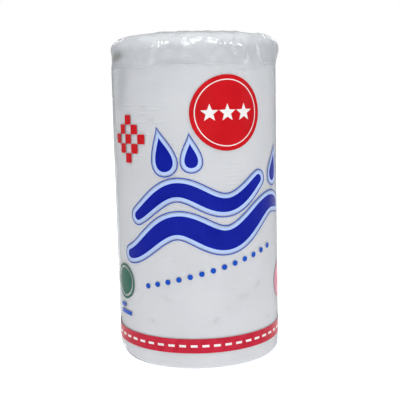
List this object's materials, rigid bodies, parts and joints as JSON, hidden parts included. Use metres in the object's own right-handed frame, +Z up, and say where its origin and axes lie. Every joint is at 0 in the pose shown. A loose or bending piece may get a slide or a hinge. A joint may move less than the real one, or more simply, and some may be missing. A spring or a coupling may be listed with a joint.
{
  "type": "paper towel roll",
  "caption": "Upright roll of embossed absorbent paper wound on a card core, sealed in clear glossy printed film that is pleated shut at both ends.",
  "frame": {"origin": "on the roll's axis, at the flat base it stands on", "axes": "+Z up along the roll's axis; the printed front faces -Y, +X is to the right of the front"},
  "size_m": [0.1331, 0.1306, 0.2549],
  "materials": {
    "film": "clear thin film, glossy, softly wrinkled",
    "paper": "matt, embossed in short dashes",
    "card": "matt, wound from spiral strips",
    "ink_red": "printed on the film, glossy",
    "ink_blue": "printed on the film, glossy",
    "ink_light_blue": "printed on the film, glossy",
    "ink_white": "printed on the film, glossy",
    "ink_green": "printed on the film, glossy",
    "ink_pink": "printed on the film, glossy"
  },
  "bodies": {
    "root": {"film_wrapper": "film", "paper_roll": "paper", "core_tube": "card", "print_red": "ink_red", "print_blue": "ink_blue", "print_light_blue": "ink_light_blue", "print_white": "ink_white", "print_green": "ink_green", "print_pink": "ink_pink"}
  },
  "joints": []
}
